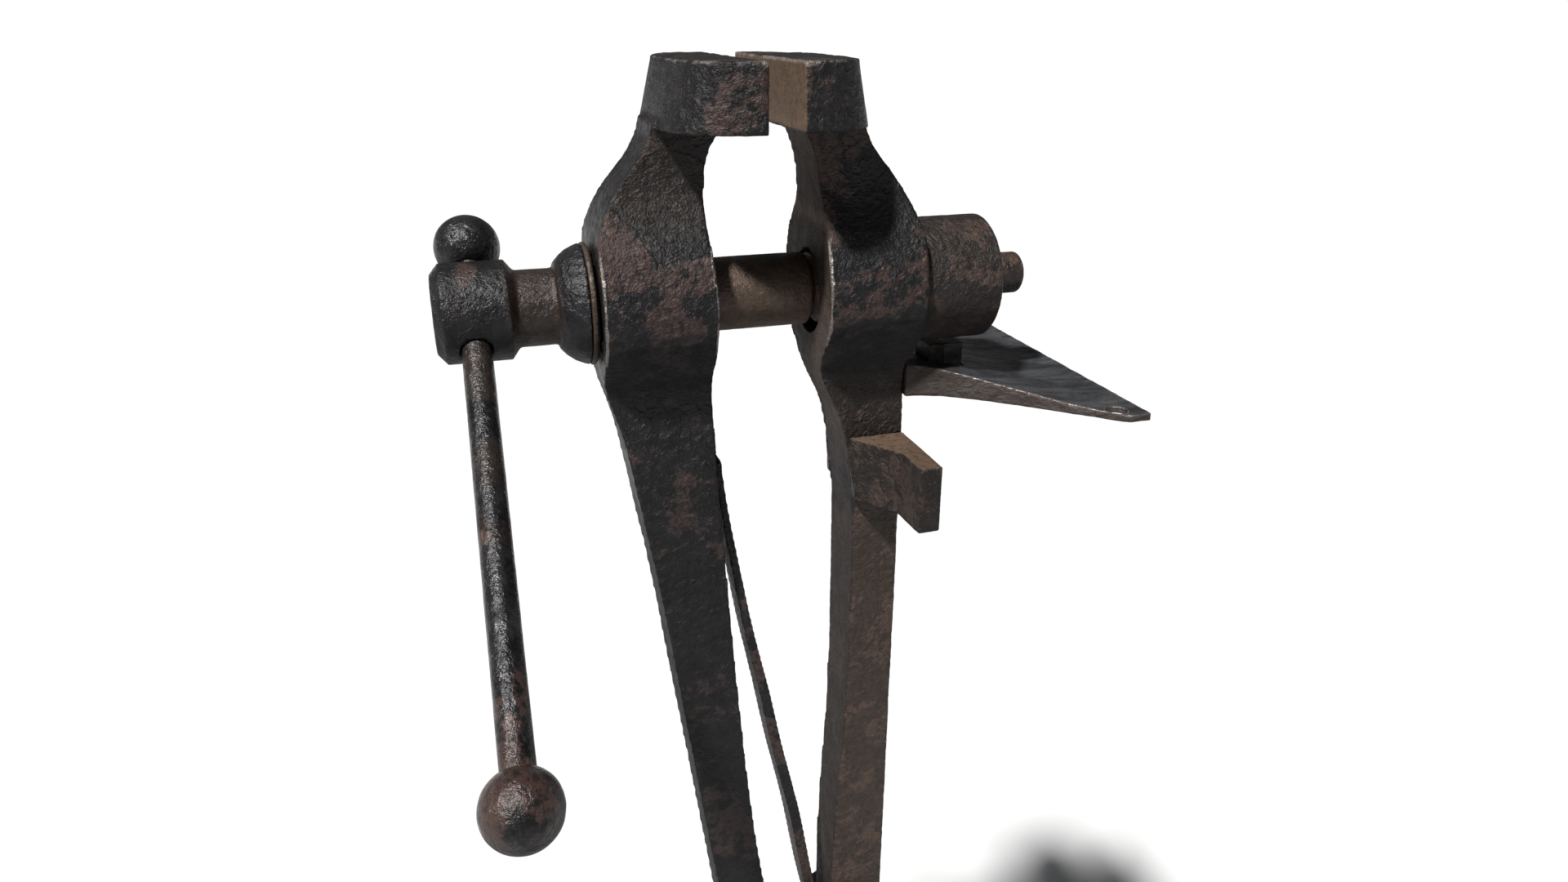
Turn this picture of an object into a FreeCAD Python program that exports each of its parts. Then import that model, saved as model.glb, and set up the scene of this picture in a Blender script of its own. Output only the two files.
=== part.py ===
"""Blacksmith's post vise (leg vise) of the five-inch class, built as separate forged pieces.

Millimetres. +Z is up, +X points to the bench, -X to the smith, the screw lies along X.
The origin is the bottom centre of the pin under the foot, on the axis of the fixed leg.
The vise stands as it does at rest: jaws 16 mm apart, handle dropped through the screw head.
"""
import FreeCAD
import Part

import math
import os

# Main heights and planes
SCREW_Z = 934.0
JAW_X = -54.5
JAW_GAP = 16.2
PIVOT_X = -61.5
PIVOT_Z = 444.0
PIVOT_R = 9.0

# Jaws
JAW_HALF = 61.0
JAW_TOP = 115.9
JAW_UNDER = 84.5
FACING = 5.0

# Screw, measured from the screw axis
SHANK_R = 19.0
CORE_R = 15.4
THREAD_R = 18.6
LEAD = 6.35
RIDGE = 2.9
COIL_RIDGE = 2.7
BOX_BORE_R = 19.9
BOX_R = 33.6
SLEEVE_R = 23.4
TIP_R = 11.5
COLLAR_R = 30.2

# Handle
HANDLE_TURN = math.radians(54.2)
HANDLE_LEAN = math.radians(1.1)
HANDLE_X = -203.5
ROD_R = 7.2
BALL_R = 16.4
BALL_UP = 42.2
BALL_DOWN = 239.7

# Fixed leg, cheeks, foot
LEG_BACK = 72.5
EYE_WALL = JAW_X + 27.8
PLATE_UNDER = -60.5
LUG_HALF = 18.5
CHEEK_IN = 15.6
CHEEK_T = 11.0
PIN_R = 12.0
PIN_LEN = 35.0

V = FreeCAD.Vector
X_AXIS = V(1, 0, 0)
Y_AXIS = V(0, 1, 0)
Z_AXIS = V(0, 0, 1)


def rear(a, b):
    """Point (x, z) a mm behind the fixed jaw's face and b mm above the screw axis."""
    return (JAW_X + a, SCREW_Z + b)


def front(a, b):
    """Point (x, z) a mm in front of the moving jaw's face and b mm above the screw axis."""
    return (JAW_X - JAW_GAP - a, SCREW_Z + b)


def box(x0, x1, y0, y1, z0, z1):
    return Part.makeBox(x1 - x0, y1 - y0, z1 - z0, V(x0, y0, z0))


def curve(points):
    """Smooth edge through points."""
    spline = Part.BSplineCurve()
    spline.interpolate(points)
    return spline.toShape()


def outline(pieces):
    """Closed wire from pieces, each a list of points; a list longer than two is smooth."""
    edges = []
    last = pieces[-1][-1]
    for points in pieces:
        if (points[0] - last).Length > 1e-6:
            edges.append(Part.makeLine(last, points[0]))
        if len(points) == 2:
            edges.append(Part.makeLine(points[0], points[1]))
        else:
            edges.append(curve(points))
        last = points[-1]
    return Part.Wire(edges)


def slab(wire, direction):
    return Part.Face(wire).extrude(direction)


def side_slab(pieces, half):
    """Plate with an XZ outline, reaching half to each side of Y = 0."""
    placed = [[V(x, -half, z) for x, z in piece] for piece in pieces]
    return slab(outline(placed), V(0, 2 * half, 0))


def front_slab(profile, x0, x1):
    """Solid with a mirrored YZ outline given as smooth or straight pieces of (half, z)."""
    right = [[V(x0, y, z) for y, z in piece] for piece in profile]
    left = [[V(x0, -y, z) for y, z in reversed(piece)] for piece in reversed(profile)]
    return slab(outline(right + left), V(x1 - x0, 0, 0))


def revolved(points, axis_point, axis):
    """Solid of revolution of a closed polygon of vectors."""
    wire = Part.makePolygon(points + [points[0]])
    return Part.Face(wire).revolve(axis_point, axis, 360)


def turned(profile):
    """Solid turned about the screw axis from (x, radius) points."""
    points = [V(x, 0, SCREW_Z + r) for x, r in profile]
    return revolved(points, V(0, 0, SCREW_Z), X_AXIS)


def cylinder_x(x0, x1, radius):
    return Part.makeCylinder(radius, x1 - x0, V(x0, 0, SCREW_Z), X_AXIS)


def cylinder_y(y0, y1, radius, x, z):
    return Part.makeCylinder(radius, y1 - y0, V(x, y0, z), Y_AXIS)


def fused(shapes):
    result = shapes[0]
    for shape in shapes[1:]:
        result = result.fuse(shape)
    return result.removeSplitter()


def cut_all(shape, tools):
    for tool in tools:
        shape = shape.cut(tool)
    return shape


# ---------------------------------------------------------------- jaws

def jaw_plan(depth, z, sign):
    """D-shaped plan of a jaw head; the flat side is the gripping side."""
    half = JAW_HALF
    rounded = [
        (0.12, 1.0), (0.36, 0.975), (0.62, 0.91), (0.83, 0.77), (0.955, 0.52), (1.0, 0.0),
    ]
    side = [(depth * a, half * b) for a, b in rounded]
    back = side + [(a, -b) for a, b in reversed(side[:-1])]
    start = JAW_X if sign > 0 else JAW_X - JAW_GAP
    points = [V(start + sign * a, b, z) for a, b in back]
    flat = [V(start, -half, z), V(start, half, z)]
    return outline([points, flat])


def jaw_head(sign):
    """Head of a jaw, tapered: the underside reaches further back than the top."""
    top = jaw_plan(36.0, SCREW_Z + JAW_TOP, sign)
    under_depth = 42.5 if sign > 0 else 44.0
    under = jaw_plan(under_depth, SCREW_Z + JAW_UNDER, sign)
    return Part.makeLoft([under, top], True, True)


def facing_box(sign):
    start = JAW_X if sign > 0 else JAW_X - JAW_GAP
    x0, x1 = sorted((start - sign * 1.0, start + sign * FACING))
    return box(x0, x1, -70, 70, SCREW_Z + 60, SCREW_Z + 130)


def neck_widths(lower):
    """Half widths from the jaw head down through the eye, then the leg's own list."""
    z = SCREW_Z
    upper = [
        (19.0, z + 88.0), (18.9, z + 74.0), (18.9, z + 62.0), (20.6, z + 52.0),
        (25.0, z + 42.0), (30.4, z + 33.0), (35.4, z + 22.0), (38.2, z + 11.0),
        (39.0, z), (38.0, z - 10.0), (34.0, z - 20.0), (26.0, z - 31.0),
        (19.8, z - 40.0), (17.4, z - 50.0), (17.5, z - 62.0), (LUG_HALF, z - 78.0),
    ]
    return [upper] + lower


# ---------------------------------------------------------------- fixed leg

def rear_outline():
    back = [rear(45.0, 88.0), rear(47.0, 80.0), rear(51.5, 72.0), rear(61.5, 59.5),
            rear(71.5, 42.0), rear(75.5, 27.0)]
    seat = [rear(75.5, 27.0), rear(75.5, -27.0)]
    below = [rear(75.5, -27.0), rear(75.0, -34.0), rear(LEG_BACK, -41.5)]
    straight = [rear(LEG_BACK, -41.5), rear(LEG_BACK, -569.0)]
    bottom = [rear(LEG_BACK, -569.0), rear(36.5, -569.0)]
    rise = [rear(36.5, -569.0), rear(36.5, -430.0)]
    throat = [rear(36.5, -430.0), rear(36.9, -385.0), rear(39.2, -330.0),
              rear(42.5, -270.0), rear(43.9, -200.0), rear(44.0, -150.0),
              rear(42.6, -113.0), rear(37.8, -80.0), rear(32.6, -62.5),
              rear(26.6, -50.5), rear(22.8, -39.0), rear(21.8, -27.0)]
    inside = [rear(21.8, -27.0), rear(21.8, 30.0)]
    neck = [rear(21.8, 30.0), rear(22.2, 46.0), rear(20.8, 60.0), rear(18.6, 71.0),
            rear(15.4, 79.5), rear(9.0, 88.0)]
    return [back, seat, below, straight, bottom, rise, throat, inside, neck]


def rear_widths():
    z = SCREW_Z
    lug = [(LUG_HALF, z - 78.0), (LUG_HALF, z - 122.0)]
    taper = [(LUG_HALF, z - 122.0), (17.9, z - 180.0), (16.8, z - 280.0),
             (15.8, z - 380.0), (15.5, z - 430.0)]
    cheek = [(15.5, z - 430.0), (15.5, z - 569.0)]
    return neck_widths([lug, taper, cheek])


def octagon(hx, hy, corner, z):
    points = [
        (hx, hy - corner), (hx - corner, hy), (corner - hx, hy), (-hx, hy - corner),
        (-hx, corner - hy), (corner - hx, -hy), (hx - corner, -hy), (hx, corner - hy),
    ]
    wire = [V(x, y, z) for x, y in points]
    return Part.makePolygon(wire + [wire[0]])


def lower_leg():
    """Tapered leg below the cheeks, with the turned foot and its pin."""
    shaft = Part.makeLoft([octagon(18.0, 15.5, 0.4, 365.0), octagon(17.4, 15.3, 4.0, 330.0),
                           octagon(14.5, 14.5, 8.4, 84.0)], True, True)
    foot = [(0, 90.0), (13.4, 90.0), (14.6, 84.0), (18.0, 76.0), (18.4, 68.0), (16.0, 58.0),
            (14.0, 55.0), (14.0, PIN_LEN), (PIN_R, PIN_LEN), (PIN_R, 0.0), (0, 0.0)]
    turned_foot = revolved([V(r, 0, z) for r, z in foot], V(0, 0, 0), Z_AXIS)
    return fused([shaft, turned_foot])


def shank_slot():
    """Upright slot in the fixed eye's front wall, longer below, where the shank tilts."""
    radius = SHANK_R + 0.5
    upper = cylinder_x(JAW_X + 10.0, EYE_WALL, radius)
    upper.translate(V(0, 0, 0.9))
    lower = cylinder_x(JAW_X + 10.0, EYE_WALL, radius)
    lower.translate(V(0, 0, -3.95))
    middle = box(JAW_X + 10.0, EYE_WALL, -radius, radius, SCREW_Z - 3.95, SCREW_Z + 0.9)
    return fused([upper, lower, middle])


def rear_eye_opening():
    """Hole through the fixed eye: ball cup at the back, sleeve bore, keyway, front slot."""
    seat_x = JAW_X + 75.5
    cup = Part.makeSphere(BOX_R + 0.3, V(seat_x, 0, SCREW_Z))
    bore = cylinder_x(EYE_WALL, seat_x, 28.4)
    keyway = box(EYE_WALL, JAW_X + 52.0, -4.6, 4.6, SCREW_Z, SCREW_Z + 33.4)
    return [fused([cup, bore, keyway, shank_slot()])]


def rivet_spots():
    return [(0.0, 488.0), (4.0, 436.0), (2.0, 388.0)]


def rear_leg():
    side = side_slab(rear_outline(), 60.0)
    width = front_slab(rear_widths(), JAW_X - 5.0, JAW_X + 90.0)
    head = jaw_head(1).cut(facing_box(1))
    body = fused([side.common(width), head, lower_leg()])
    holes = rear_eye_opening()
    for x, z in rivet_spots():
        holes.append(cylinder_y(-30, 30, 4.6, x, z))
    holes.append(Part.makeCylinder(3.1, 24, V(JAW_X + 30.0, 0, SCREW_Z - 462.0), X_AXIS))
    return cut_all(body, holes)


def side_lug(sign, reach):
    """Wing forge-welded to a side of the fixed leg; its back bears on the bench's edge."""
    plan = [(40.0, 18.5), (59.0, 46.7), (60.0, reach), (LEG_BACK, reach), (LEG_BACK, 18.5)]
    points = [V(JAW_X + a, sign * b, SCREW_Z - 117.5) for a, b in plan]
    solid = slab(Part.makePolygon(points + [points[0]]), V(0, 0, 36.5))
    upright = [e for e in solid.Edges if e.BoundBox.ZLength > 30]
    outer = [e for e in upright if abs(e.BoundBox.Center.y) > reach - 1.0]
    return solid.makeFillet(1.2, outer).common(side_slab(rear_outline(), 80.0))


# ---------------------------------------------------------------- moving leg

def front_outline():
    centre = (JAW_X - JAW_GAP) - PIVOT_X
    face = [front(45.0, 88.0), front(47.0, 80.0), front(51.5, 72.0), front(61.5, 60.0),
            front(71.5, 43.0), front(75.0, 28.0)]
    seat = [front(75.0, 28.0), front(75.0, -27.0)]
    outer = [front(75.0, -27.0), front(73.9, -42.0), front(69.3, -58.0), front(60.8, -101.0),
             front(52.9, -150.0), front(43.6, -220.0), front(34.6, -290.0),
             front(25.6, -360.0), front(18.3, -420.0), front(14.8, -462.0),
             front(centre + 24.0, -490.0)]
    under = [front(centre + 24.0, -490.0), front(centre + 17.0, -507.0),
             front(centre, -514.0), front(centre - 17.0, -507.0),
             front(centre - 24.0, -490.0)]
    inner = [front(centre - 24.0, -490.0), front(-27.6, -468.0), front(-18.4, -435.0),
             front(-8.3, -389.0), front(-0.8, -334.0), front(7.4, -240.0),
             front(13.6, -150.0), front(17.4, -83.0), front(18.8, -40.0),
             front(19.0, -10.0), front(19.6, 20.0), front(21.2, 44.0), front(19.9, 63.0),
             front(17.0, 75.5), front(13.6, 81.0), front(9.0, 88.0)]
    return [face, seat, outer, under, inner]


def front_widths():
    z = SCREW_Z
    taper = [(LUG_HALF, z - 78.0), (18.1, z - 120.0), (17.0, z - 220.0),
             (15.6, z - 340.0), (14.9, z - 430.0)]
    tongue = [(14.9, z - 430.0), (14.9, z - 530.0)]
    return neck_widths([taper, tongue])


def front_eye_opening():
    """Upright oval through the moving eye, flared for the screw's tilt."""
    x0 = JAW_X - JAW_GAP - 90.0
    low = Part.makeCylinder(20.3, 90, V(x0, 0, SCREW_Z - 3.5), X_AXIS)
    high = Part.makeCylinder(20.3, 90, V(x0, 0, SCREW_Z + 2.5), X_AXIS)
    middle = box(x0, x0 + 90, -20.3, 20.3, SCREW_Z - 3.5, SCREW_Z + 2.5)
    return fused([low, high, middle])


def front_leg():
    side = side_slab(front_outline(), 60.0)
    width = front_slab(front_widths(), JAW_X - 110.0, JAW_X + 40.0)
    head = jaw_head(-1).cut(facing_box(-1))
    body = fused([side.common(width), head])
    pivot = cylinder_y(-30, 30, PIVOT_R + 0.1, PIVOT_X, PIVOT_Z)
    return cut_all(body, [front_eye_opening(), pivot])


def jaw_facing(sign):
    """Steel plate forge-welded to the gripping side of a jaw."""
    return jaw_head(sign).common(facing_box(sign))


# ---------------------------------------------------------------- screw and box

def helix_ridge(x_start, turns, r_in, r_out, width):
    """Square ridge along a right-hand helix about the screw axis."""
    radius = (r_in + r_out) / 2
    spine = Part.makeHelix(LEAD, LEAD * turns, radius)
    corners = [V(r_in, 0, -width / 2), V(r_out, 0, -width / 2),
               V(r_out, 0, width / 2), V(r_in, 0, width / 2)]
    profile = Part.makePolygon(corners + [corners[0]])
    ridge = Part.Wire(spine.Edges).makePipeShell([profile], True, True)
    ridge.rotate(V(0, 0, 0), Y_AXIS, 90)
    ridge.translate(V(x_start, 0, SCREW_Z))
    return ridge


def screw():
    tip_start = JAW_X + 119.8
    thread_start = JAW_X + 19.0
    profile = [
        (JAW_X - 167.8, 0), (JAW_X - 167.8, 19.0), (JAW_X - 163.2, 24.5),
        (JAW_X - 132.7, 24.5), (JAW_X - 128.5, SHANK_R), (JAW_X - 109.6, SHANK_R),
        (JAW_X - 109.4, 21.3), (JAW_X - 106.2, 24.9), (JAW_X - 102.4, 27.7),
        (JAW_X - 98.6, 29.4), (JAW_X - 96.2, COLLAR_R), (JAW_X - 95.6, COLLAR_R),
        (JAW_X - 95.6, SHANK_R), (thread_start, SHANK_R), (thread_start + 1.5, CORE_R),
        (tip_start, CORE_R), (tip_start + 2.0, TIP_R), (tip_start + 24.0, TIP_R),
        (tip_start + 25.6, TIP_R - 1.6), (tip_start + 25.6, 0),
    ]
    body = turned(profile)
    turns = 15.5
    ridge = helix_ridge(thread_start + RIDGE / 2, turns, CORE_R - 0.4, THREAD_R, RIDGE)
    body = body.fuse(ridge)
    hole = Part.makeCylinder(ROD_R + 0.5, 80, V(0, 0, -40))
    return body.cut(handle_frame(hole))


def thrust_washer():
    """Loose ring between the screw's collar and the moving jaw."""
    profile = [
        (JAW_X - 95.4, 19.6), (JAW_X - 95.4, 29.6), (JAW_X - 94.8, COLLAR_R + 0.4),
        (JAW_X - 92.9, COLLAR_R + 0.4), (JAW_X - 91.9, 28.8), (JAW_X - 91.9, 19.6),
    ]
    return turned(profile)


def screw_box():
    """Nut barrel: sleeve through the fixed eye, ball seat, and the barrel behind it."""
    seat = JAW_X + 75.5
    mouth = EYE_WALL + 2.2
    points = [V(mouth, 0, SCREW_Z + BOX_BORE_R), V(mouth, 0, SCREW_Z + SLEEVE_R)]
    join = math.sqrt(BOX_R ** 2 - SLEEVE_R ** 2)
    a0 = math.atan2(SLEEVE_R, join)
    mid = (a0 + math.pi / 2) / 2
    ball_start = V(seat - join, 0, SCREW_Z + SLEEVE_R)
    ball_mid = V(seat - BOX_R * math.cos(mid), 0, SCREW_Z + BOX_R * math.sin(mid))
    ball_end = V(seat, 0, SCREW_Z + BOX_R)
    barrel = [ball_end, V(JAW_X + 119.5, 0, SCREW_Z + BOX_R),
              V(JAW_X + 120.5, 0, SCREW_Z + BOX_R - 1.0),
              V(JAW_X + 120.5, 0, SCREW_Z + BOX_BORE_R), points[0]]
    edges = [Part.makeLine(points[0], points[1]), Part.makeLine(points[1], ball_start),
             Part.Arc(ball_start, ball_mid, ball_end).toShape()]
    edges += [Part.makeLine(p, q) for p, q in zip(barrel, barrel[1:])]
    face = Part.Face(Part.Wire(edges))
    return face.revolve(V(0, 0, SCREW_Z), X_AXIS, 360)


def box_thread_coil():
    """Square thread strip brazed inside the barrel, half a lead off the screw's ridge."""
    start = JAW_X + 19.0 + RIDGE / 2 + 2.5 * LEAD
    return helix_ridge(start, 3.0, CORE_R + 0.5, BOX_BORE_R - 0.05, COIL_RIDGE)


def box_key():
    """Key on the sleeve that stops the barrel turning in the eye."""
    block = box(JAW_X + 31.5, JAW_X + 46.0, -4.0, 4.0, SCREW_Z + 20.0, SCREW_Z + 31.2)
    return block.cut(cylinder_x(JAW_X + 20.0, JAW_X + 60.0, SLEEVE_R + 0.02))


# ---------------------------------------------------------------- handle

def handle_frame(shape):
    """Turn a shape built along +Z at the origin into the handle's place."""
    shape.rotate(V(0, 0, 0), Y_AXIS, math.degrees(HANDLE_LEAN))
    shape.rotate(V(0, 0, 0), X_AXIS, -math.degrees(HANDLE_TURN))
    shape.translate(V(HANDLE_X, 0, SCREW_Z))
    return shape


def handle_bar():
    """Rod with a turned-down spigot at each end for the balls."""
    rod = Part.makeCylinder(ROD_R, BALL_UP + BALL_DOWN - 28.0, V(0, 0, 14.0 - BALL_DOWN))
    spigot = Part.makeCylinder(5.0, BALL_UP + BALL_DOWN + 4.0, V(0, 0, -2.0 - BALL_DOWN))
    return handle_frame(rod.fuse(spigot))


def handle_ball(centre, inward):
    """Ball with a blind hole for the spigot and a flat where it meets the rod."""
    ball = Part.makeSphere(BALL_R, V(0, 0, centre))
    hole = Part.makeCylinder(5.05, 60.0, V(0, 0, centre - inward * 2.4), V(0, 0, inward))
    socket = Part.makeCylinder(ROD_R + 0.05, 60.0, V(0, 0, centre + inward * 13.9),
                               V(0, 0, inward))
    return handle_frame(ball.cut(hole).cut(socket))


# ---------------------------------------------------------------- pivot and cheeks

def cheek(sign):
    """Side plate that carries the pivot bolt ahead of the fixed leg."""
    r = 27.0
    x, z = PIVOT_X, PIVOT_Z
    back = [(17.6, 362.0), (17.6, 506.0)]
    top = [(17.6, 506.0), (2.0, 512.0), (-16.0, 506.0), (-34.0, 486.0), (-47.0, 473.5),
           (x, z + r)]
    nose = [(x, z + r), (x - 19.0, z + 19.2), (x - r, z), (x - 19.0, z - 19.2), (x, z - r)]
    under = [(x, z - r), (-46.0, 413.0), (-28.0, 398.0), (-12.0, 374.0), (2.0, 360.0),
             (17.6, 362.0)]
    y0 = CHEEK_IN if sign > 0 else -CHEEK_IN - CHEEK_T
    placed = [[V(px, y0, pz) for px, pz in piece] for piece in (back, top, nose, under)]
    plate = slab(outline(placed), V(0, CHEEK_T, 0))
    holes = [cylinder_y(-40, 40, PIVOT_R + 0.1, x, z)]
    holes += [cylinder_y(-40, 40, 4.6, px, pz) for px, pz in rivet_spots()]
    return cut_all(plate, holes)


def domed_pin(x, z, radius, half, head_r, head_h):
    """Rivet along Y with a domed head at each end."""
    pin = cylinder_y(-half, half, radius, x, z)
    heads = []
    for sign in (-1, 1):
        ball_r = (head_r ** 2 + head_h ** 2) / (2 * head_h)
        centre = V(x, sign * (half + head_h - ball_r), z)
        y0, y1 = sorted((sign * half, sign * (half + head_h + 1)))
        ball = Part.makeSphere(ball_r, centre)
        heads.append(ball.common(box(x - 30, x + 30, y0, y1, z - 30, z + 30)))
    return fused([pin] + heads)


def cheek_rivets():
    half = CHEEK_IN + CHEEK_T + 0.1
    return Part.makeCompound([domed_pin(x, z, 4.5, half, 8.5, 4.6) for x, z in rivet_spots()])


def pivot_bolt():
    """Shouldered bolt with a square head on the near side and a rounded end."""
    y_head = -(CHEEK_IN + CHEEK_T + 3.3)
    y_end = CHEEK_IN + CHEEK_T + 3.3 + 14.0 + 5.0
    shank = cylinder_y(y_head, y_end, PIVOT_R, PIVOT_X, PIVOT_Z)
    end_edges = [e for e in shank.Edges if e.BoundBox.YMin > y_end - 0.1]
    shank = shank.makeChamfer(1.5, end_edges)
    head = box(PIVOT_X - 14, PIVOT_X + 14, y_head - 11, y_head, PIVOT_Z - 14, PIVOT_Z + 14)
    outer = [e for e in head.Edges if e.BoundBox.YMax < y_head - 10.9]
    return fused([shank, head.makeChamfer(1.6, outer)])


def pivot_nut():
    y0 = CHEEK_IN + CHEEK_T + 3.3
    nut = box(PIVOT_X - 15, PIVOT_X + 15, y0, y0 + 14, PIVOT_Z - 15, PIVOT_Z + 15)
    outer = [e for e in nut.Edges if e.BoundBox.YMin > y0 + 13.9]
    nut = nut.makeChamfer(1.6, outer)
    return nut.cut(cylinder_y(y0 - 5, y0 + 20, PIVOT_R + 0.05, PIVOT_X, PIVOT_Z))


def pivot_washers():
    rings = []
    for y0 in (CHEEK_IN + CHEEK_T + 0.15, -(CHEEK_IN + CHEEK_T + 3.15)):
        ring = cylinder_y(y0, y0 + 3.0, 18.5, PIVOT_X, PIVOT_Z)
        rings.append(ring.cut(cylinder_y(y0 - 1, y0 + 4, PIVOT_R + 0.3, PIVOT_X, PIVOT_Z)))
    return Part.makeCompound(rings)


def foot_collar():
    """Ring shrunk on above the pin; it stops the leg sinking into its block."""
    profile = [(14.05, PIN_LEN + 0.1), (21.5, PIN_LEN + 0.1), (23.0, PIN_LEN + 1.6),
               (23.0, 47.0), (21.0, 50.0), (14.05, 50.0)]
    return revolved([V(r, 0, z) for r, z in profile], V(0, 0, 0), Z_AXIS)


# ---------------------------------------------------------------- spring

def leaf_spring():
    """Tapered leaf that pushes the moving leg open; riveted at its foot."""
    face = [rear(a, b) for a, b in (
        (28.9, -484), (28.9, -462), (28.4, -443), (23.8, -418), (18.2, -390),
        (9.4, -338), (-1.8, -285), (-9.0, -245), (-18.4, -197), (-25.0, -155),
        (-30.4, -118), (-33.0, -92))]
    back = [rear(a, b) for a, b in (
        (-29.4, -89), (-26.2, -118), (-20.2, -155), (-12.8, -197), (-2.6, -245),
        (5.0, -285), (16.4, -338), (25.2, -390), (31.0, -418), (35.7, -443),
        (36.3, -462), (36.3, -484))]
    placed = [[V(x, -10.0, z) for x, z in piece] for piece in (face, back)]
    leaf = slab(outline(placed), V(0, 20.0, 0))
    hole = Part.makeCylinder(3.1, 60, V(JAW_X + 10.0, 0, SCREW_Z - 462.0), X_AXIS)
    return leaf.cut(hole)


def spring_rivet():
    """Rivet that holds the leaf's foot to the front of the fixed leg."""
    pin = Part.makeCylinder(3.0, 22.9, V(JAW_X + 28.8, 0, SCREW_Z - 462.0), X_AXIS)
    ball = Part.makeSphere(7.5, V(JAW_X + 32.4, 0, SCREW_Z - 462.0))
    cap = ball.common(box(JAW_X + 10, JAW_X + 28.8, -20, 20, SCREW_Z - 480, SCREW_Z - 440))
    return fused([pin, cap])


# ---------------------------------------------------------------- bench fixing

def bench_plate():
    """Fan-shaped plate that lies on the bench; its thick neck butts on the leg."""
    start = LEG_BACK + 0.2
    side = [[rear(start, PLATE_UNDER), rear(start, -42.5)],
            [rear(start, -42.5), rear(92.0, -45.0), rear(118.0, -50.0), rear(146.0, -55.0),
             rear(179.0, -56.0)],
            [rear(179.0, -56.0), rear(179.0, PLATE_UNDER)]]
    half_plan = [(start, 19.0), (84.0, 21.5), (96.0, 28.0), (112.0, 40.5), (128.0, 54.5),
                 (144.0, 69.5), (156.0, 81.0), (163.0, 88.0)]
    near = [V(JAW_X + a, -b, SCREW_Z - 70) for a, b in half_plan]
    far = [V(p.x, -p.y, p.z) for p in reversed(near)]
    corners = [V(JAW_X + 168.0, -91.0, SCREW_Z - 70), V(JAW_X + 179.0, -91.0, SCREW_Z - 70)]
    rear_edge = [corners[1], V(JAW_X + 179.0, 91.0, SCREW_Z - 70)]
    far_corner = [rear_edge[1], V(JAW_X + 168.0, 91.0, SCREW_Z - 70)]
    plan = outline([near, corners, rear_edge, far_corner, far])
    plate = side_slab(side, 100.0).common(slab(plan, V(0, 0, 40.0)))
    slot = box(JAW_X + 90.0, JAW_X + 112.2, -9.6, 9.6, SCREW_Z - 70, SCREW_Z - 30)
    groove = box(JAW_X + 70.0, JAW_X + 95.0, -9.5, 9.5, SCREW_Z - 70, SCREW_Z - 54.7)
    tools = [slot, groove]
    for sign in (-1, 1):
        spot = V(JAW_X + 165.0, sign * 80.5, SCREW_Z - 70)
        tools.append(Part.makeCylinder(5.5, 40, spot))
    return cut_all(plate, tools)


def leg_hook():
    """Hook forged on the back of the leg: it lies under the neck and rises in the slot."""
    under = SCREW_Z + PLATE_UNDER + 0.2
    tongue = box(JAW_X + LEG_BACK, JAW_X + 99.0, -9.0, 9.0, under, SCREW_Z - 55.0)
    upright = box(JAW_X + 90.4, JAW_X + 99.0, -9.0, 9.0, under, SCREW_Z - 35.4)
    return fused([tongue, upright])


def plate_wedge():
    """Tapered key driven down behind the hook; it draws the plate up to the leg."""
    low = PLATE_UNDER + 0.2
    points = [(99.3, low), (99.3, -35.6), (111.6, -35.6), (110.2, low)]
    wire = [V(JAW_X + a, -8.5, SCREW_Z + b) for a, b in points]
    return slab(Part.makePolygon(wire + [wire[0]]), V(0, 17.0, 0))


# ---------------------------------------------------------------- output

def parts():
    return {
        "rear_leg": rear_leg(),
        "rear_jaw_facing": jaw_facing(1),
        "front_leg": front_leg(),
        "front_jaw_facing": jaw_facing(-1),
        "screw": screw(),
        "thrust_washer": thrust_washer(),
        "screw_box": screw_box(),
        "box_thread_coil": box_thread_coil(),
        "box_key": box_key(),
        "handle_bar": handle_bar(),
        "handle_ball_upper": handle_ball(BALL_UP, -1),
        "handle_ball_lower": handle_ball(-BALL_DOWN, 1),
        "cheek_near": cheek(-1),
        "cheek_far": cheek(1),
        "cheek_rivets": cheek_rivets(),
        "pivot_bolt": pivot_bolt(),
        "pivot_nut": pivot_nut(),
        "pivot_washers": pivot_washers(),
        "foot_collar": foot_collar(),
        "leaf_spring": leaf_spring(),
        "spring_rivet": spring_rivet(),
        "side_lug_near": side_lug(-1, 71.7),
        "side_lug_far": side_lug(1, 58.0),
        "bench_plate": bench_plate(),
        "leg_hook": leg_hook(),
        "plate_wedge": plate_wedge(),
    }


def main():
    os.makedirs("parts", exist_ok=True)
    for name, shape in parts().items():
        shape.exportStep(os.path.join("parts", name + ".step"))
        print(name, shape.ShapeType, len(shape.Solids), shape.isValid(),
              round(shape.Volume), "mm3")


main()
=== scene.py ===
"""Looks of the blacksmith's post vise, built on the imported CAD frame. Metres, row frame."""
import math

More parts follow.
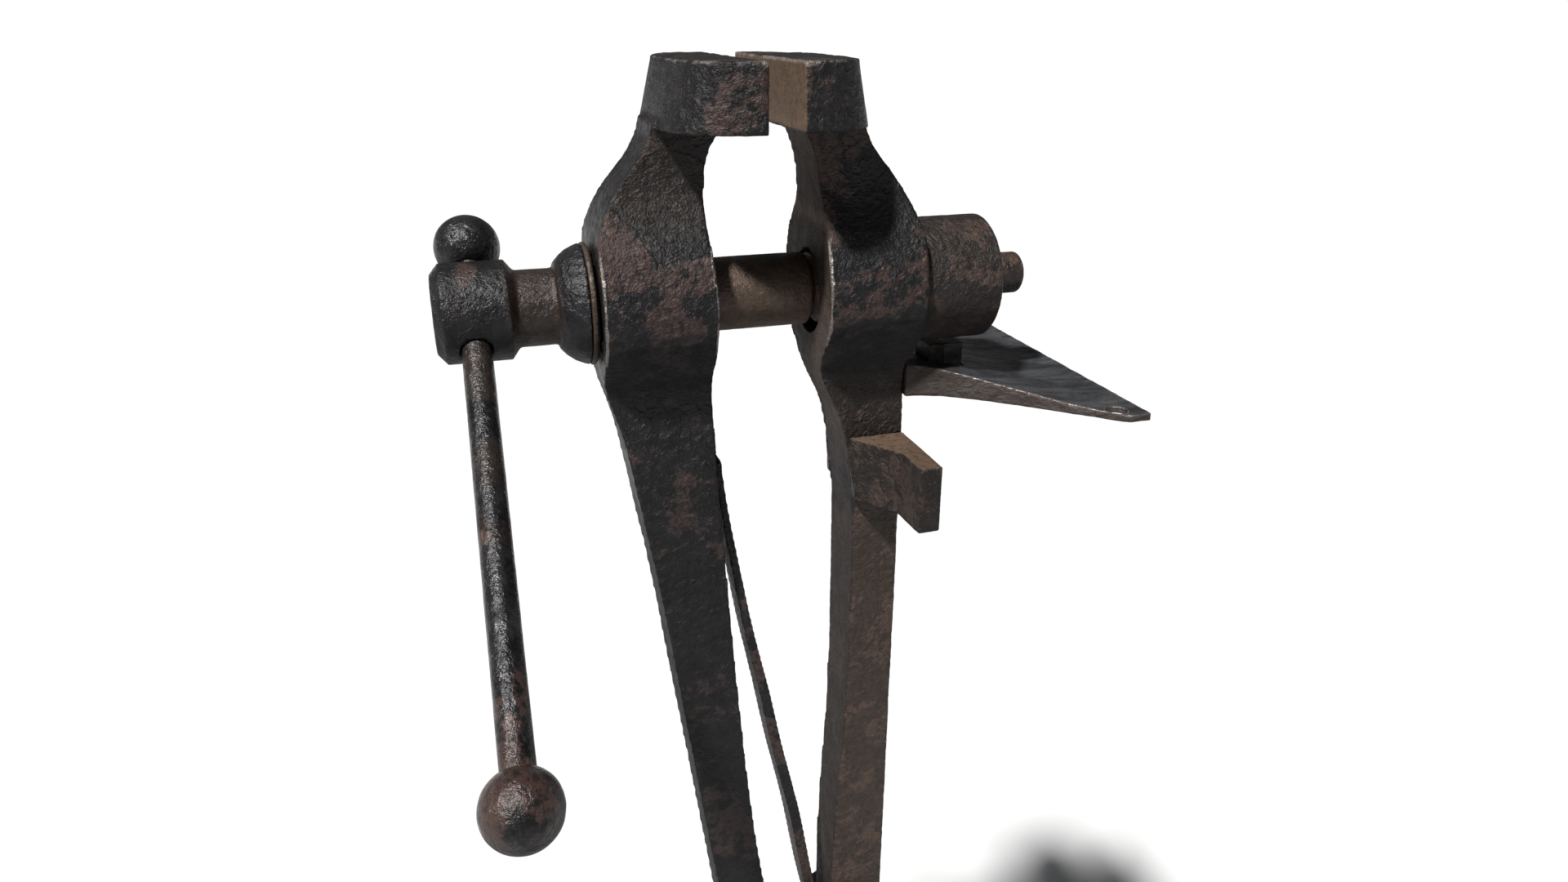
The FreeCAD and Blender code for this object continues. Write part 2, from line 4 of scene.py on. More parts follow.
import bmesh
import bpy
import numpy as np
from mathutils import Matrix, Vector


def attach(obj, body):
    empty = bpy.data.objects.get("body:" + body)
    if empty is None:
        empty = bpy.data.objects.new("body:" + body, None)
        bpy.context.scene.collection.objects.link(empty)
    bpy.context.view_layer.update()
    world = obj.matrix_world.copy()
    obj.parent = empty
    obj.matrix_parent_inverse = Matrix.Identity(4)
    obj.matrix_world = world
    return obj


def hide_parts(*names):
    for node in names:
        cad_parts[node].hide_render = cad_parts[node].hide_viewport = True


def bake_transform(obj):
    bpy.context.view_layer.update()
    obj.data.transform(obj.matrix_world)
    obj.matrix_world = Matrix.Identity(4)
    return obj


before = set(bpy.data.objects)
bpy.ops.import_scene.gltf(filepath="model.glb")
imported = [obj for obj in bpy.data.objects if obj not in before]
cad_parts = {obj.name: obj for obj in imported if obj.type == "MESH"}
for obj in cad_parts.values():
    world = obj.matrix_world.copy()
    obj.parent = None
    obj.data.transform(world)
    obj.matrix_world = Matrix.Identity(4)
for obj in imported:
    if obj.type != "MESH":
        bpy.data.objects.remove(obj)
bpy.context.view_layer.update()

# Places on the vise, in metres. A pair is a range over which something fades.
SCREW_Z = 0.934                     # height of the screw's axis
REAR_FACE = -0.0545                 # x of the fixed jaw's gripping face
FRONT_FACE = -0.0707                # x of the moving jaw's gripping face
GRIP_LOW = SCREW_Z + 0.082          # height above which the flat faces are gripping faces
BORE = (0.0350, 0.0375)             # radius about the screw's axis where the bores end
SMITH_SIDE = (-0.180, -0.165)       # x where the moving eye ends
PIVOT_TOP = (0.470, 0.530)          # height where the pivot's close-running pieces end
EYE_LOW = (SCREW_Z - 0.160, SCREW_Z - 0.060)    # height over which the eyes turn into legs

# How the metal is worked.
WELD = 1e-6                         # metres between vertices that count as one
PUSH_IN, PUSH_OUT = 0.55, 0.50      # shares of one smoothing round and of its undoing
SURROUNDINGS = 8                    # rounds of averaging that a point is compared with
MEAN_DEPTH = 3.0e-4                 # metres that hammering takes off on average
WORN_EDGE = (0.16, 0.48)            # bulge, in voxels, of a slightly and a fully worn edge
HOLLOW = (0.04, 0.40)               # the same for hollows
RUBBED = 0.25                       # share of bare metal on worn edges unless stated


# ---------------------------------------------------------------- noise

ALL_BITS = 0xFFFFFFFF


def lattice(i, j, k, seed):
    """Repeatable random value from -1 to 1 at whole-number points."""
    h = (i * 374761393 + j * 668265263 + k * 1442695041 + seed * 974634777) & ALL_BITS
    h = ((h ^ (h >> 13)) * 1274126177) & ALL_BITS
    h = h ^ (h >> 16)
    return h / ALL_BITS * 2.0 - 1.0


def noise(points, size, seed):
    """Smooth noise from -1 to 1 with lumps about size across."""
    q = points / size
    base = np.floor(q).astype(np.int64)
    f = q - base
    f = f * f * (3.0 - 2.0 * f)
    total = np.zeros(len(points))
    for dx in (0, 1):
        wx = f[:, 0] if dx else 1.0 - f[:, 0]
        for dy in (0, 1):
            wy = f[:, 1] if dy else 1.0 - f[:, 1]
            for dz in (0, 1):
                wz = f[:, 2] if dz else 1.0 - f[:, 2]
                value = lattice(base[:, 0] + dx, base[:, 1] + dy, base[:, 2] + dz, seed)
                total += wx * wy * wz * value
    return total


def smoothstep(x, low, high):
    """Nought up to low, one from high on, with a soft passage between them."""
    t = np.clip((x - low) / (high - low), 0.0, 1.0)
    return t * t * (3.0 - 2.0 * t)


# ---------------------------------------------------------------- meshes

def joined_mesh(name, nodes):
    """One welded mesh of the CAD nodes."""
    bm = bmesh.new()
    for node in nodes:
        bm.from_mesh(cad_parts[node].data)
    bmesh.ops.remove_doubles(bm, verts=bm.verts, dist=WELD)
    mesh = bpy.data.meshes.new(name)
    bm.to_mesh(mesh)
    bm.free()
    return mesh


def even_mesh(name, mesh, voxel):
    """The same shape with small even faces, so that it can be worked like metal."""
    rough = bpy.data.objects.new(name + "_rough", mesh)
    bpy.context.scene.collection.objects.link(rough)
    remesh = rough.modifiers.new("even", "REMESH")
    remesh.mode = "VOXEL"
    remesh.voxel_size = voxel
    remesh.adaptivity = 0.0
    graph = bpy.context.evaluated_depsgraph_get()
    fine = bpy.data.meshes.new_from_object(rough.evaluated_get(graph))
    bpy.data.objects.remove(rough)
    bpy.data.meshes.remove(mesh)
    fine.name = name
    fine.materials.clear()
    return fine


def read(mesh):
    """The mesh's vertex positions and its edges' vertex numbers."""
    co = np.empty(len(mesh.vertices) * 3)
    mesh.vertices.foreach_get("co", co)
    edges = np.empty(len(mesh.edges) * 2, np.int32)
    mesh.edges.foreach_get("vertices", edges)
    return co.reshape(-1, 3), edges.reshape(-1, 2)


def write(mesh, co):
    """Moves the mesh's vertices."""
    mesh.vertices.foreach_set("co", co.ravel())
    mesh.update()


def normals(mesh):
    """The mesh's vertex normals."""
    n = np.empty(len(mesh.vertices) * 3)
    mesh.vertex_normals.foreach_get("vector", n)
    return n.reshape(-1, 3)


def averaged(co, edges):
    """Each point's neighbours' mean."""
    a, b = edges[:, 0], edges[:, 1]
    count = np.bincount(a, minlength=len(co)) + np.bincount(b, minlength=len(co))
    out = np.empty_like(co)
    for axis in range(3):
        total = np.bincount(a, co[b, axis], len(co)) + np.bincount(b, co[a, axis], len(co))
        out[:, axis] = total / np.maximum(count, 1)
    return out


def relaxed(co, edges, rounds):
    """Rounds off edges a little without shrinking the whole."""
    for _ in range(rounds):
        co = co + PUSH_IN * (averaged(co, edges) - co)
        co = co - PUSH_OUT * (averaged(co, edges) - co)
    return co


def bulge(co, n, edges, rounds):
    """How far each point stands out of its surroundings, in metres; hollows are negative."""
    mean = co
    for _ in range(rounds):
        mean = averaged(mean, edges)
    return np.einsum("ij,ij->i", co - mean, n)


def add_values(mesh, name, values):
    """Stores values from 0 to 1 on the vertices, for the materials to read."""
    layer = mesh.attributes.new(name, "FLOAT", "POINT")
    layer.data.foreach_set("value", np.clip(values, 0.0, 1.0).astype(np.float32))


def forged(co, seed, strength):
    """Depth that hammering takes off, in metres: broad dents, blows, and scale wrinkles."""
    broad = 0.5 + 0.5 * noise(co, 0.030, seed)
    blows = np.abs(noise(co, 0.013, seed + 1))
    bent = co + 0.0012 * noise(co, 0.009, seed + 4)[:, None]
    wrinkles = np.abs(noise(bent * (1.0, 1.0, 1.8), 0.0062, seed + 2))
    grit = 0.5 + 0.5 * noise(co, 0.0031, seed + 3)
    return strength * (3.0e-4 * broad + 2.8e-4 * blows + 3.6e-4 * wrinkles + 1.3e-4 * grit)


def open_surface(co):
    """One on outer surfaces, nought in the bores and round the pivot, where pieces run close."""
    radius = np.hypot(co[:, 1], co[:, 2] - SCREW_Z)
    clear = smoothstep(radius, *BORE) + 1.0 - smoothstep(co[:, 0], *SMITH_SIDE)
    return np.minimum(clear, 1.0) * smoothstep(co[:, 2], *PIVOT_TOP)


# The functions below take vertex positions and normals and return a value for each vertex.

def patchy(co, n):
    """Rust left to chance."""
    return np.full(len(co), 0.5)


def underside_shade(co, n):
    """Painted shade on undersides."""
    return smoothstep(-n[:, 2], 0.02, 0.45)


def front_leg_shade(co, n):
    """Painted shade on undersides; darker down the leg, with the painted shade thickest on the
    smith's side.
    """
    low = 1.0 - smoothstep(co[:, 2], *EYE_LOW)
    return np.maximum(underside_shade(co, n), low * (0.62 + 0.33 * smoothstep(-n[:, 0], 0.4, 0.8)))


def rear_leg_shade(co, n):
    """Painted shade on undersides, and a painted shadow on the fixed leg's face towards the
    moving leg, below the jaw.
    """
    below_jaw = 1.0 - smoothstep(co[:, 2], SCREW_Z + 0.075, SCREW_Z + 0.086)
    inner = smoothstep(-n[:, 0], 0.5, 0.9) * below_jaw
    low = 1.0 - smoothstep(co[:, 2], *EYE_LOW)
    return np.maximum(underside_shade(co, n), inner * (0.85 + 0.15 * low))


def plate_shade(co, n):
    """Painted shade on the underside and on the neck's sides."""
    side = 1.0 - smoothstep(np.abs(n[:, 2]), 0.3, 0.7)
    near = 1.0 - smoothstep(co[:, 0], 0.040, 0.095)
    return np.maximum(underside_shade(co, n), 0.75 * side * near)


def piece(name, nodes, body, material, voxel, soften=1, dents=1.0, seed=1, dust=None,
          rubbed=None, painted_shade=underside_shade, rust=patchy):
    """A worked-metal piece in place of CAD nodes, riding on their body.

    voxel is the mesh's face size, soften the smoothing rounds, dents the depth of the
    hammering; dust, rubbed and rust say where each of them lies, and the argument between
    rubbed and rust says where painted shade darkens the metal.
    """
    mesh = even_mesh(name, joined_mesh(name, nodes), voxel)
    co, edges = read(mesh)
    co = relaxed(co, edges, soften)
    write(mesh, co)
    n = normals(mesh)
    edge = bulge(co, n, edges, SURROUNDINGS)
    flat = smoothstep(np.abs(n[:, 0]), 0.86, 0.97)
    grip = flat * (co[:, 2] > GRIP_LOW)
    depth = forged(co, seed, dents) * (1.0 - 0.6 * grip)
    depth = depth - MEAN_DEPTH * dents * (1.0 - flat) * open_surface(co)
    co = co - n * depth[:, None]
    write(mesh, co)
    n = normals(mesh)
    share = rubbed(co, n) if rubbed else RUBBED
    add_values(mesh, "worn", smoothstep(edge / voxel, *WORN_EDGE) * share)
    add_values(mesh, "hollow", smoothstep(-edge / voxel, *HOLLOW))
    add_values(mesh, "dust", dust(co, n) if dust else np.zeros(len(co)))
    # Painted shade: where the metal is darkened and roughened to stand in for shade.
    add_values(mesh, "painted_shade", painted_shade(co, n))
    add_values(mesh, "rust", rust(co, n))
    mesh.polygons.foreach_set("use_smooth", np.ones(len(mesh.polygons), bool))
    mesh.materials.append(material)
    obj = bpy.data.objects.new(name, mesh)
    bpy.context.scene.collection.objects.link(obj)
    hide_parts(*nodes)
    if body:
        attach(obj, body)
    return obj


# ---------------------------------------------------------------- materials

# Numbers of the colour sockets on the Mix node, which share their names with others.
MIX_SHARE, MIX_A, MIX_B, MIX_RESULT = 0, 6, 7, 2


class Graph:
    """A material whose shader nodes are made and linked in short calls."""

    def __init__(self, name):
        self.material = bpy.data.materials.new(name)
        self.material.use_nodes = True
        self.tree = self.material.node_tree
        self.shader = self.tree.nodes["Principled BSDF"]

    def feed(self, socket, value):
        """Links a socket, or sets a constant on it."""
        if isinstance(value, bpy.types.NodeSocket):
            self.tree.links.new(value, socket)
        else:
            socket.default_value = value

    def node(self, kind, inputs, **settings):
        made = self.tree.nodes.new(kind)
        for key, value in settings.items():
            setattr(made, key, value)
        for key, value in inputs.items():
            self.feed(made.inputs[key], value)
        return made

    def place(self, seed, stretch=(1, 1, 1)):
        """Object coordinates, shifted so that no two materials look alike."""
        where = self.node("ShaderNodeTexCoord", {}).outputs["Object"]
        shift = (seed * 0.37, seed * 0.73, seed * 0.19)
        return self.node("ShaderNodeMapping", {"Vector": where, "Location": shift,
                                               "Scale": stretch}).outputs["Vector"]

    def noise(self, where, scale, detail=4.0, rough=0.55, twist=0.0):
        inputs = {"Vector": where, "Scale": scale, "Detail": detail,
                  "Roughness": rough, "Distortion": twist}
        return self.node("ShaderNodeTexNoise", inputs).outputs["Fac"]

    def band(self, value, low, high, to_low=0.0, to_high=1.0):
        """A soft passage from to_low to to_high while value goes from low to high."""
        inputs = {"Value": value, "From Min": low, "From Max": high,
                  "To Min": to_low, "To Max": to_high}
        made = self.node("ShaderNodeMapRange", inputs, interpolation_type="SMOOTHSTEP")
        return made.outputs["Result"]

    def math(self, operation, a, b=0.0):
        made = self.node("ShaderNodeMath", {0: a, 1: b}, operation=operation)
        return made.outputs[0]

    def times(self, a, b):
        return self.math("MULTIPLY", a, b)

    def mix(self, share, a, b):
        """Colour a turning into colour b as share rises."""
        made = self.node("ShaderNodeMix", {}, data_type="RGBA")
        for number, value in ((MIX_SHARE, share), (MIX_A, a), (MIX_B, b)):
            self.feed(made.inputs[number], value)
        return made.outputs[MIX_RESULT]

    def values(self, name):
        """Values stored by add_values."""
        return self.node("ShaderNodeAttribute", {}, attribute_name=name).outputs["Fac"]


def rgb(r, g, b):
    return (r, g, b, 1.0)


BLACK_SCALE = rgb(0.0028, 0.0030, 0.0036)
BLUE_SCALE = rgb(0.0085, 0.0088, 0.0104)
RUST = rgb(0.0310, 0.0165, 0.0136)
GRIME = rgb(0.0110, 0.0062, 0.0042)
DUST = rgb(0.074, 0.047, 0.030)
BARE_METAL = rgb(0.150, 0.135, 0.125)
BUMP_HEIGHT = 0.0026


def iron(name, seed, dark=BLACK_SCALE, light=BLUE_SCALE, rust=RUST, rust_from=0.52, rough=0.44,
         gloss=0.0, bump=1.0, grain=(1, 1, 1)):
    """Forge-scaled iron: blue-black scale, rust patches, worn edges, grimy hollows.

    rust_from is the noise level where rust patches begin, gloss makes the scale's smooth
    spots smoother, and grain stretches the pattern.
    """
    g = Graph(name)
    where = g.place(seed, grain)
    large = g.noise(where, 21.0, 5.0, 0.60, 0.8)
    middle = g.noise(where, 85.0, 6.0, 0.66, 0.4)
    small = g.noise(where, 310.0, 5.0, 0.62)
    fine = g.noise(where, 900.0, 3.0, 0.6)

    colour = g.mix(g.band(middle, 0.34, 0.70), dark, light)
    colour = g.mix(g.times(g.band(small, 0.50, 0.72), 0.55), colour, light)
    ragged = g.math("ADD", g.times(large, 0.68), g.times(middle, 0.32))
    ragged = g.math("ADD", ragged, g.times(g.math("SUBTRACT", g.values("rust"), 0.5), 0.30))
    patch = g.band(g.math("ADD", ragged, g.times(small, 0.10)), rust_from + 0.05,
                   rust_from + 0.085)
    patch = g.times(patch, g.band(small, 0.36, 0.54, 0.25, 1.0))
    colour = g.mix(g.times(patch, 0.85), colour, rust)
    speck = g.times(g.band(small, 0.56, 0.64), g.band(large, 0.40, 0.60, 0.15, 0.65))
    colour = g.mix(speck, colour, rust)
    hollow = g.values("hollow")
    colour = g.mix(g.times(hollow, 0.80), colour, GRIME)
    pits = g.band(fine, 0.34, 0.46, 0.60, 0.0)
    colour = g.mix(pits, colour, dark)
    # Painted shade: the stored shade mask darkens the colour towards the darkest scale.
    colour = g.mix(g.times(g.values("painted_shade"), 0.72), colour, dark)
    dusty = g.times(g.values("dust"), g.band(small, 0.30, 0.60, 0.65, 1.0))
    colour = g.mix(dusty, colour, DUST)
    bare_edge = g.math("ADD", g.values("worn"), g.times(g.math("SUBTRACT", middle, 0.5), 1.5))
    bare = g.band(bare_edge, 0.50, 0.85)
    colour = g.mix(bare, colour, BARE_METAL)
    g.feed(g.shader.inputs["Base Color"], colour)

    shine = g.band(middle, 0.30, 0.72, rough + 0.08, rough - 0.07 - gloss)
    shine = g.math("ADD", shine, g.times(patch, 0.08))
    shine = g.math("ADD", shine, g.times(dusty, 0.25))
    # Painted shade also roughens the metal, dulling its reflections.
    shine = g.math("ADD", shine, g.times(g.values("painted_shade"), 0.30))
    shine = g.math("SUBTRACT", shine, g.times(bare, 0.10))
    g.feed(g.shader.inputs["Roughness"], shine)
    metal = g.math("MAXIMUM", g.band(patch, 0.0, 1.0, 0.35, 0.10), g.times(bare, 0.9))
    metal = g.times(metal, g.band(dusty, 0.0, 1.0, 1.0, 0.1))
    g.feed(g.shader.inputs["Metallic"], metal)
    g.shader.inputs["Specular IOR Level"].default_value = 0.30

    creased = g.math("ABSOLUTE", g.math("SUBTRACT", g.noise(where, 190.0, 4.0, 0.6, 0.5), 0.5))
    height = g.math("ADD", g.times(small, 0.42), g.times(fine, 0.13))
    height = g.math("ADD", height, g.times(creased, 1.1))
    height = g.math("ADD", height, g.times(middle, 0.35))
    amount = g.band(g.values("dust"), 0.4, 1.0, 1.0, 0.35)
    relief = g.node("ShaderNodeBump", {"Strength": amount, "Distance": BUMP_HEIGHT * bump,
                                       "Height": height}).outputs["Normal"]
    g.feed(g.shader.inputs["Normal"], relief)
    return g.material


# ---------------------------------------------------------------- where dust, wear and rust lie

def rear_leg_dust(co, n):
    """Tan dust on the gripping face, less on the eye's inner face and the leg's side."""
    x, z = co[:, 0], co[:, 2]
    facing_smith = smoothstep(-n[:, 0], 0.55, 0.85)
    jaw = facing_smith * smoothstep(z, SCREW_Z + 0.080, SCREW_Z + 0.088)
    jaw = jaw * (x < REAR_FACE + 0.004)
    eye = 0.34 * facing_smith * smoothstep(z, SCREW_Z - 0.120, SCREW_Z - 0.050)
    low = 1.0 - smoothstep(z, SCREW_Z - 0.150, SCREW_Z - 0.105)
    middle = 1.0 - smoothstep(z, SCREW_Z - 0.060, SCREW_Z - 0.020)
    side = np.abs(n[:, 1]) * (0.14 * middle + 0.20 * low)
    return np.maximum.reduce([0.98 * jaw, eye, side, 0.12 * facing_smith * low])


def front_leg_dust(co, n):
    """A little on the face towards the bench and on the neck's sides."""
    z = co[:, 2]
    neck = smoothstep(z, SCREW_Z + 0.025, SCREW_Z + 0.050)
    neck = neck * (1.0 - smoothstep(z, SCREW_Z + 0.076, SCREW_Z + 0.086))
    return 0.10 * np.maximum(smoothstep(n[:, 0], 0.55, 0.9), neck * np.abs(n[:, 1]))


def top_dust(co, n):
    """Thick on top, a trace elsewhere."""
    return 0.68 * smoothstep(n[:, 2], 0.70, 0.92) + 0.06


def neck_dust(co, n):
    """Rust brown on the plate's neck and its edges, clean on the fan."""
    neck = 1.0 - smoothstep(co[:, 0] + 0.35 * np.abs(co[:, 1]), 0.038, 0.062)
    side = 1.0 - smoothstep(n[:, 2], 0.3, 0.7)
    return np.maximum(0.34 * neck, 0.30 * side)


def screw_dust(co, n):
    """Brown grease on the neck and between the legs; the boss and collar are cleaner."""
    x = co[:, 0]
    neck = smoothstep(x, -0.192, -0.184) * (1.0 - smoothstep(x, -0.166, -0.160))
    between = smoothstep(x, FRONT_FACE - 0.045, FRONT_FACE - 0.010)
    between = between * (1.0 - 0.72 * smoothstep(x, 0.0, 0.05))
    return np.maximum(0.20 * neck, 0.58 * between)


def handle_dust(co, n):
    """A little, in spots."""
    return 0.14 * smoothstep(noise(co, 0.02, 5), 0.1, 0.6)


def washer_dust(co, n):
    """Brown grease all over."""
    return np.full(len(co), 0.42)


def even_dust(co, n):
    """A trace all over."""
    return np.full(len(co), 0.12)


def jaw_rubbed(co, n):
    """Bright metal along the jaw's top rim and the eye's near edge."""
    z = co[:, 2]
    rim = smoothstep(z, SCREW_Z + 0.110, SCREW_Z + 0.1145)
    eye = smoothstep(-co[:, 1], 0.026, 0.034) * (np.abs(z - SCREW_Z - 0.010) < 0.045)
    eye = eye * (1.0 - smoothstep(co[:, 0], REAR_FACE + 0.050, REAR_FACE + 0.060))
    return np.maximum.reduce([0.62 * rim, 0.95 * eye, np.full(len(co), 0.14)])


def blob(co, where, size):
    """One at a spot, fading to nought at size from it; where and size are (x, y, z)."""
    return 1.0 - smoothstep(np.linalg.norm((co - where) / size, axis=1), 0.35, 1.0)


def front_leg_rust(co, n):
    """Rust on the jaw's near side and round the eye's middle; the smith's side stays black."""
    jaw = blob(co, (FRONT_FACE - 0.010, -0.061, SCREW_Z + 0.098), (0.044, 0.046, 0.036))
    cheek = blob(co, (FRONT_FACE - 0.066, -0.034, SCREW_Z + 0.030), (0.019, 0.024, 0.025))
    belly = blob(co, (FRONT_FACE - 0.042, -0.038, SCREW_Z - 0.004), (0.024, 0.022, 0.016))
    strap = blob(co, (FRONT_FACE - 0.030, -0.038, SCREW_Z + 0.018), (0.022, 0.022, 0.014))
    smith = smoothstep(-n[:, 0], 0.35, 0.75)
    spots = np.maximum.reduce([0.36 * jaw, cheek, belly, 0.75 * strap])
    return np.clip(0.46 + 0.42 * spots - 0.40 * smith * (1.0 - cheek), 0.0, 1.0)


def rear_leg_rust(co, n):
    """Rust on the eye's near side and down the leg."""
    eye = blob(co, (REAR_FACE + 0.042, -0.038, SCREW_Z + 0.002), (0.040, 0.024, 0.026))
    leg = np.abs(n[:, 1]) * (1.0 - smoothstep(co[:, 2], SCREW_Z - 0.20, SCREW_Z - 0.12))
    head = smoothstep(co[:, 2], SCREW_Z + 0.070, SCREW_Z + 0.090)
    return np.clip(0.48 + 0.40 * np.maximum(0.85 * eye, 0.15 * leg) - 0.05 * head, 0.0, 1.0)


def plate_rubbed(co, n):
    """Bright metal along the upper edges only."""
    return 0.85 * smoothstep(n[:, 2], 0.25, 0.55)


def turned_rubbed(co, n):
    """Hardly any bare metal."""
    return np.full(len(co), 0.10)


# ---------------------------------------------------------------- pieces

leg_iron = iron("leg_iron", 1, rough=0.40)
rear_iron = iron("rear_leg_iron", 2, rust_from=0.51, rough=0.41)
screw_iron = iron("screw_iron", 3, rust_from=0.58, light=rgb(0.0125, 0.0132, 0.0155),
                  rough=0.36, gloss=0.05, bump=0.62)
box_iron = iron("box_iron", 4, rust_from=0.50, rust=rgb(0.0250, 0.0135, 0.0108))
handle_iron = iron("handle_iron", 5, rust_from=0.54, light=rgb(0.016, 0.016, 0.018),
                   rough=0.29, gloss=0.05, bump=0.50)
lug_iron = iron("lug_iron", 6, rust_from=0.48, rust=rgb(0.0230, 0.0120, 0.0088),
                dark=rgb(0.0036, 0.0030, 0.0028), light=rgb(0.0085, 0.0078, 0.0078))
plate_iron = iron("plate_iron", 7, rust_from=0.60, dark=rgb(0.010, 0.011, 0.013),
                  light=rgb(0.056, 0.058, 0.063), rough=0.46, bump=0.75, grain=(0.35, 1, 1))
spring_iron = iron("spring_iron", 8, rust_from=0.52, rough=0.44)
bolt_iron = iron("bolt_iron", 9, rust_from=0.52)

piece("rear_leg_forging", ["rear_leg", "rear_jaw_facing"], "frame", rear_iron,
      0.00142, seed=11, dust=rear_leg_dust, rubbed=jaw_rubbed, painted_shade=rear_leg_shade,
      rust=rear_leg_rust)
piece("front_leg_forging", ["front_leg", "front_jaw_facing"], "front_leg",
      leg_iron, 0.00125, seed=21, dust=front_leg_dust, rubbed=jaw_rubbed,
      painted_shade=front_leg_shade, rust=front_leg_rust)
piece("side_lug_near_forging", ["side_lug_near"], "frame", lug_iron, 0.0009,
      dents=0.55, seed=31, dust=top_dust)
piece("side_lug_far_forging", ["side_lug_far"], "frame", lug_iron, 0.0009,
      dents=0.55, seed=32, dust=top_dust)
piece("screw_forging", ["screw"], "screw", screw_iron, 0.0009,
      dents=0.30, seed=41, dust=screw_dust, rubbed=turned_rubbed)
piece("thrust_ring", ["thrust_washer"], "thrust_washer", screw_iron, 0.0005,
      dents=0.2, seed=42, dust=washer_dust, rubbed=turned_rubbed)
piece("screw_box_barrel", ["screw_box"], "screw_box", box_iron, 0.0009,
      dents=0.5, seed=43, dust=even_dust)
piece("box_coil", ["box_thread_coil"], "screw_box", screw_iron, 0.0005,
      dents=0.5, seed=44)
piece("barrel_key", ["box_key"], "screw_box", screw_iron, 0.0005,
      dents=0.2, seed=45)
piece("handle_rod", ["handle_bar"], "handle", handle_iron, 0.0006,
      dents=0.25, seed=51, dust=handle_dust)
piece("handle_knob_upper", ["handle_ball_upper"], "handle", handle_iron,
      0.0006, soften=3, dents=0.25, seed=52, dust=handle_dust)
piece("handle_knob_lower", ["handle_ball_lower"], "handle", handle_iron,
      0.0006, soften=3, dents=0.25, seed=53, dust=handle_dust)
piece("cheek_near_plate", ["cheek_near"], "frame", leg_iron, 0.0010, seed=61,
      dents=0.8, dust=even_dust)
piece("cheek_far_plate", ["cheek_far"], "frame", leg_iron, 0.0010, seed=62,
      dents=0.8, dust=even_dust)
piece("cheek_rivet_heads", ["cheek_rivets"], "frame", bolt_iron, 0.0005,
      dents=0.5, seed=63)
piece("pivot_bolt_forging", ["pivot_bolt"], "frame", bolt_iron, 0.0007,
      dents=0.5, seed=64)
piece("pivot_nut_forging", ["pivot_nut"], "frame", bolt_iron, 0.0006,
      dents=0.5, seed=65)
piece("pivot_washer_pair", ["pivot_washers"], "frame", bolt_iron, 0.0005,
      dents=0.3, seed=66)
piece("foot_ring", ["foot_collar"], "frame", leg_iron, 0.0007, dents=0.6,
      seed=67, dust=even_dust)
piece("spring_rivet_head", ["spring_rivet"], "frame", bolt_iron, 0.0005,
      dents=0.4, seed=68)
piece("bench_plate_forging", ["bench_plate"], "frame", plate_iron, 0.0009,
      dents=0.7, seed=71, dust=neck_dust, rubbed=plate_rubbed, painted_shade=plate_shade)
piece("leg_hook_forging", ["leg_hook"], "frame", rear_iron, 0.0006, dents=0.5,
      seed=72, dust=even_dust)
piece("plate_key", ["plate_wedge"], "frame", plate_iron, 0.0006, dents=0.5,
      seed=73)
leaf = piece("leaf_spring_blade", ["leaf_spring"], None, spring_iron, 0.0009,
             dents=0.4, seed=81)
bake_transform(leaf)


# ---------------------------------------------------------------- floor, light, camera

FLOOR_HALF = 60.0
FLOOR_Z = -0.001
FLOOR_COLOUR = rgb(0.392, 0.398, 0.410)
SKY_COLOUR = rgb(0.97, 0.98, 1.0)
SKY_AS_LIGHT, SKY_TO_CAMERA = 0.15, 1.05
LAMP_STRENGTH = 9.5
LAMP_SPREAD = math.radians(4.5)
LAMP_COLOUR = (1.0, 0.975, 0.94)
TOWARDS_LAMP = Vector((-0.43, -0.34, 0.83))
SENSOR_WIDTH, LENS = 36.0, 24.45
NEAREST, FARTHEST = 0.02, 200.0
CAMERA_AT = (-0.2091, -0.5255, 1.0688)
CAMERA_DOWN, CAMERA_TURN = 0.382, -0.302


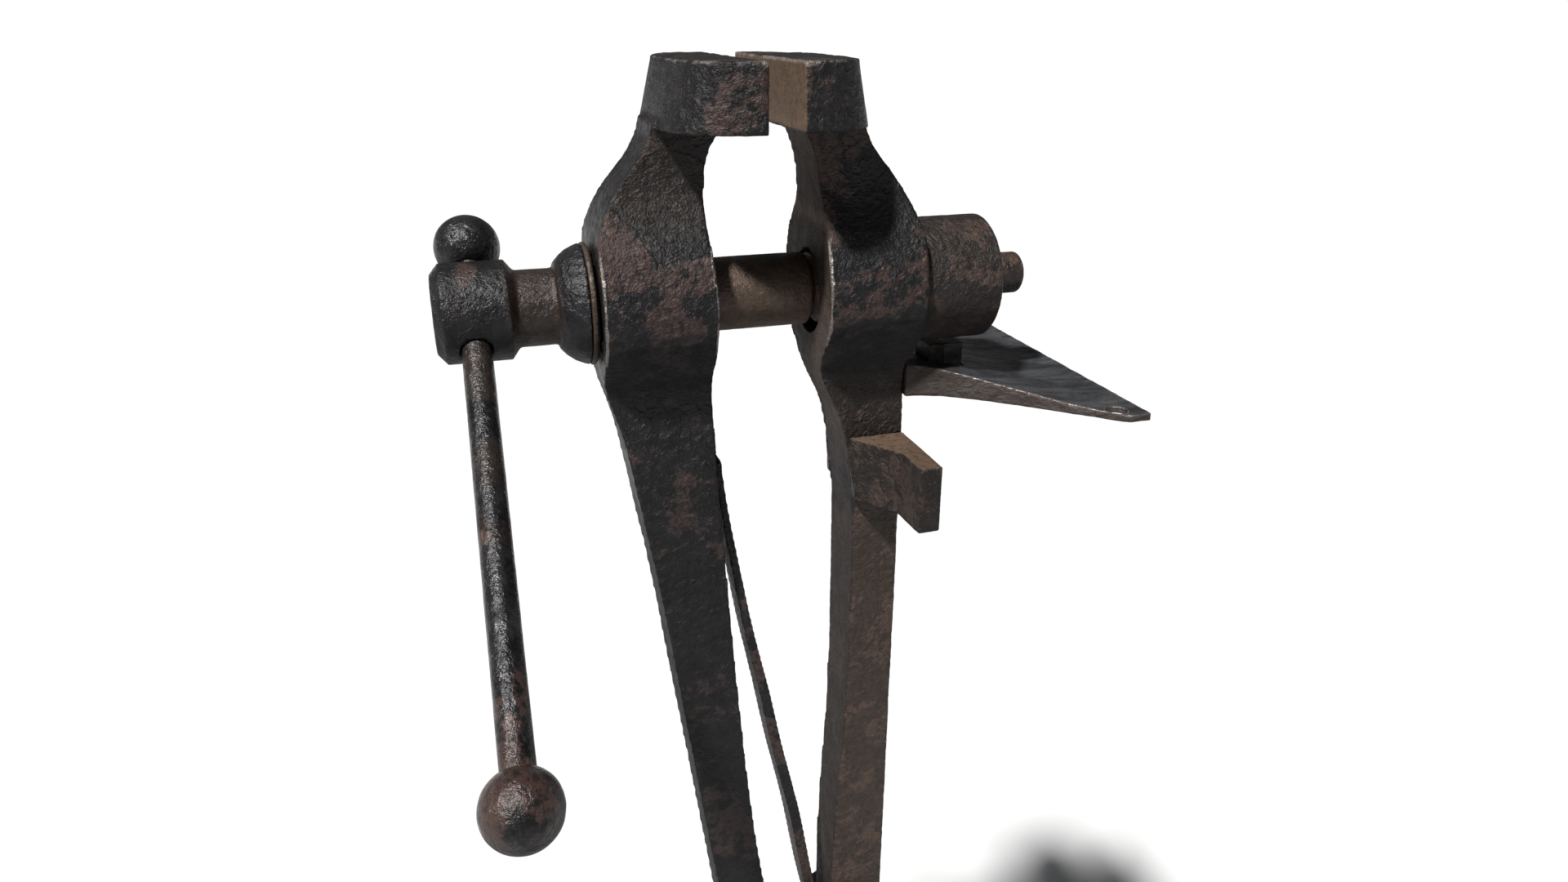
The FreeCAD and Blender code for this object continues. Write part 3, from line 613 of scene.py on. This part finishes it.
def floor():
    """A plain pale floor just under the vise's foot."""
    corners = [(-FLOOR_HALF, -FLOOR_HALF, FLOOR_Z), (FLOOR_HALF, -FLOOR_HALF, FLOOR_Z),
               (FLOOR_HALF, FLOOR_HALF, FLOOR_Z), (-FLOOR_HALF, FLOOR_HALF, FLOOR_Z)]
    mesh = bpy.data.meshes.new("floor")
    mesh.from_pydata(corners, [], [(0, 1, 2, 3)])
    obj = bpy.data.objects.new("floor", mesh)
    bpy.context.scene.collection.objects.link(obj)
    pale = Graph("pale_floor")
    pale.shader.inputs["Base Color"].default_value = FLOOR_COLOUR
    pale.shader.inputs["Roughness"].default_value = 1.0
    pale.shader.inputs["Specular IOR Level"].default_value = 0.0
    mesh.materials.append(pale.material)


def studio():
    """White surroundings to the eye, dim as light, with one key lamp above the handle side."""
    world = bpy.data.worlds.new("studio")
    world.use_nodes = True
    tree = world.node_tree
    sky = tree.nodes["Background"]
    sky.inputs["Color"].default_value = SKY_COLOUR
    seen = tree.nodes.new("ShaderNodeLightPath").outputs["Is Camera Ray"]
    level = tree.nodes.new("ShaderNodeMapRange")
    level.inputs["To Min"].default_value = SKY_AS_LIGHT
    level.inputs["To Max"].default_value = SKY_TO_CAMERA
    tree.links.new(seen, level.inputs["Value"])
    tree.links.new(level.outputs["Result"], sky.inputs["Strength"])
    bpy.context.scene.world = world
    lamp = bpy.data.lights.new("key", "SUN")
    lamp.energy = LAMP_STRENGTH
    lamp.angle = LAMP_SPREAD
    lamp.color = LAMP_COLOUR
    sun = bpy.data.objects.new("key", lamp)
    bpy.context.scene.collection.objects.link(sun)
    sun.rotation_euler = TOWARDS_LAMP.to_track_quat("Z", "Y").to_euler()
    bpy.context.scene.view_settings.view_transform = "Standard"
    bpy.context.scene.view_settings.look = "None"


def camera():
    """On the near side at the height of the jaws, looking down."""
    data = bpy.data.cameras.new("camera")
    data.sensor_width = SENSOR_WIDTH
    data.lens = LENS
    data.clip_start = NEAREST
    data.clip_end = FARTHEST
    obj = bpy.data.objects.new("camera", data)
    bpy.context.scene.collection.objects.link(obj)
    obj.location = CAMERA_AT
    obj.rotation_euler = (math.pi / 2 - CAMERA_DOWN, 0.0, CAMERA_TURN)
    bpy.context.scene.camera = obj


floor()
studio()
camera()
